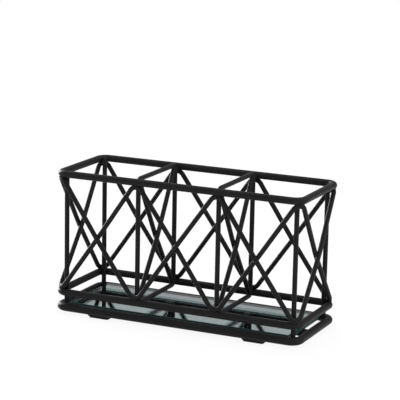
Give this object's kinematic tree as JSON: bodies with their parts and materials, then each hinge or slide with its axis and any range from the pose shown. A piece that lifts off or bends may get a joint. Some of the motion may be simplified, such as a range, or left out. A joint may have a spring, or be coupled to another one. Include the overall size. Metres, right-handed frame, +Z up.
{
  "type": "makeup brush organizer",
  "caption": "Open wire cage with crossed-wire sides and dividers over a mirrored base, for standing makeup brushes and tubes on a vanity table.",
  "frame": {"origin": "on the table under the middle of the base, in the plane of the four foot pads", "axes": "+X along the length, to the right seen from the front; +Y to the back; +Z up"},
  "size_m": [0.205, 0.0776, 0.1135],
  "materials": {
    "black_coat": "satin powder coat on steel wire",
    "mirror": "polished silvered glass with a green edge",
    "backing_board": "matte dark board",
    "foot_rubber": "matte anti-slip pad"
  },
  "bodies": {
    "root": {"base_ring": "black_coat", "bottom_rail": "black_coat", "divider_1_brace_falling": "black_coat", "divider_1_brace_rising": "black_coat", "divider_1_frame": "black_coat", "divider_2_brace_falling": "black_coat", "divider_2_brace_rising": "black_coat", "divider_2_frame": "black_coat", "end_ledge_left": "black_coat", "end_ledge_right": "black_coat", "foot_pad_back_left": "foot_rubber", "foot_pad_back_right": "foot_rubber", "foot_pad_front_left": "foot_rubber", "foot_pad_front_right": "foot_rubber", "foot_tab_back_left": "black_coat", "foot_tab_back_right": "black_coat", "foot_tab_front_left": "black_coat", "foot_tab_front_right": "black_coat", "lattice_back_1_inner": "black_coat", "lattice_back_1_outer": "black_coat", "lattice_back_2_inner": "black_coat", "lattice_back_2_outer": "black_coat", "lattice_back_3_inner": "black_coat", "lattice_back_3_outer": "black_coat", "lattice_front_1_inner": "black_coat", "lattice_front_1_outer": "black_coat", "lattice_front_2_inner": "black_coat", "lattice_front_2_outer": "black_coat", "lattice_front_3_inner": "black_coat", "lattice_front_3_outer": "black_coat", "lattice_left_1_inner": "black_coat", "lattice_left_1_outer": "black_coat", "lattice_right_1_inner": "black_coat", "lattice_right_1_outer": "black_coat", "mirror_backing": "backing_board", "mirror_plate": "mirror", "post_back_left": "black_coat", "post_back_right": "black_coat", "post_front_left": "black_coat", "post_front_right": "black_coat", "top_rim": "black_coat"}
  },
  "joints": []
}
